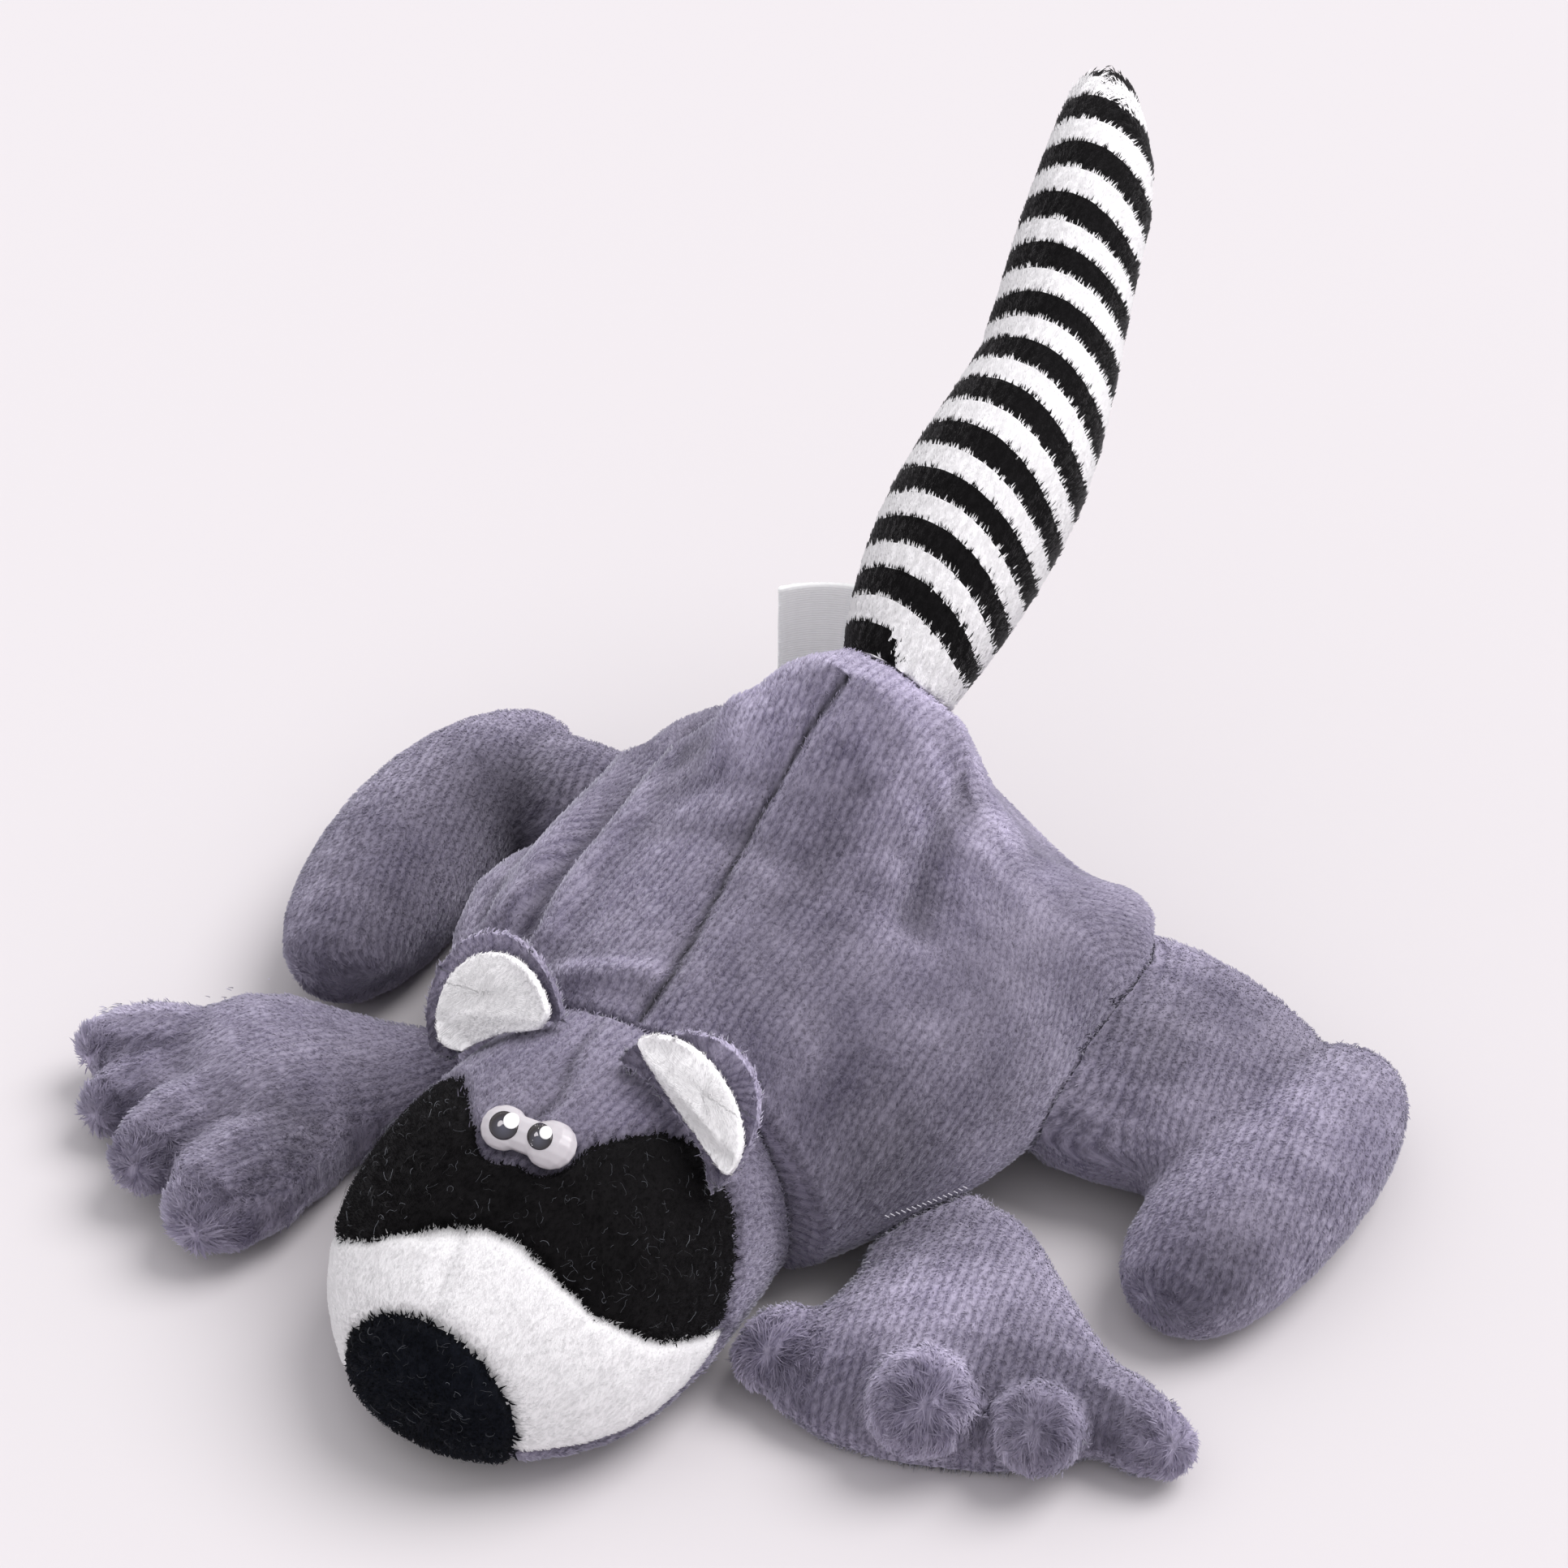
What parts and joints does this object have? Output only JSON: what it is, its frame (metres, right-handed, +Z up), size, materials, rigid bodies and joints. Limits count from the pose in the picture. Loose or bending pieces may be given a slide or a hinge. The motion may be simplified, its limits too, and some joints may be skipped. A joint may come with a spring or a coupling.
{
  "type": "plush toy raccoon",
  "caption": "Small bean-bag plush raccoon lying on its belly, with splayed legs, black mask, white muzzle, white-lined ears and a raised black and white ringed tail.",
  "frame": {"origin": "on the floor, under the middle of the trunk, where the back seam's plane meets the belly", "axes": "+Z up, -Y towards the nose, +X towards the toy's left side"},
  "size_m": [0.1585, 0.186, 0.0997],
  "materials": {
    "grey_plush": "blue-grey short-pile velour plush with fine knit ribs",
    "black_plush": "matt black short-pile plush with stray pale lint",
    "white_plush": "white short-pile plush",
    "navy_plush": "very dark navy short-pile plush",
    "ringed_plush": "white plush with woven-in black rings",
    "eye_plastic": "milky white glossy moulded plastic",
    "eye_print": "dark glossy printed pupils",
    "seam_thread": "pale grey sewing thread",
    "label_tape": "plain white woven satin tape"
  },
  "bodies": {
    "root": {"trunk": "grey_plush", "head": "grey_plush", "mask": "black_plush", "muzzle": "white_plush", "nose": "navy_plush", "eyes": "eye_plastic", "ear_left": "grey_plush", "ear_left_lining": "white_plush", "ear_right": "grey_plush", "ear_right_lining": "white_plush", "front_leg_left": "grey_plush", "front_leg_right": "grey_plush", "hind_leg_left": "grey_plush", "hind_leg_right": "grey_plush", "tail": "ringed_plush", "label": "label_tape"}
  },
  "joints": []
}
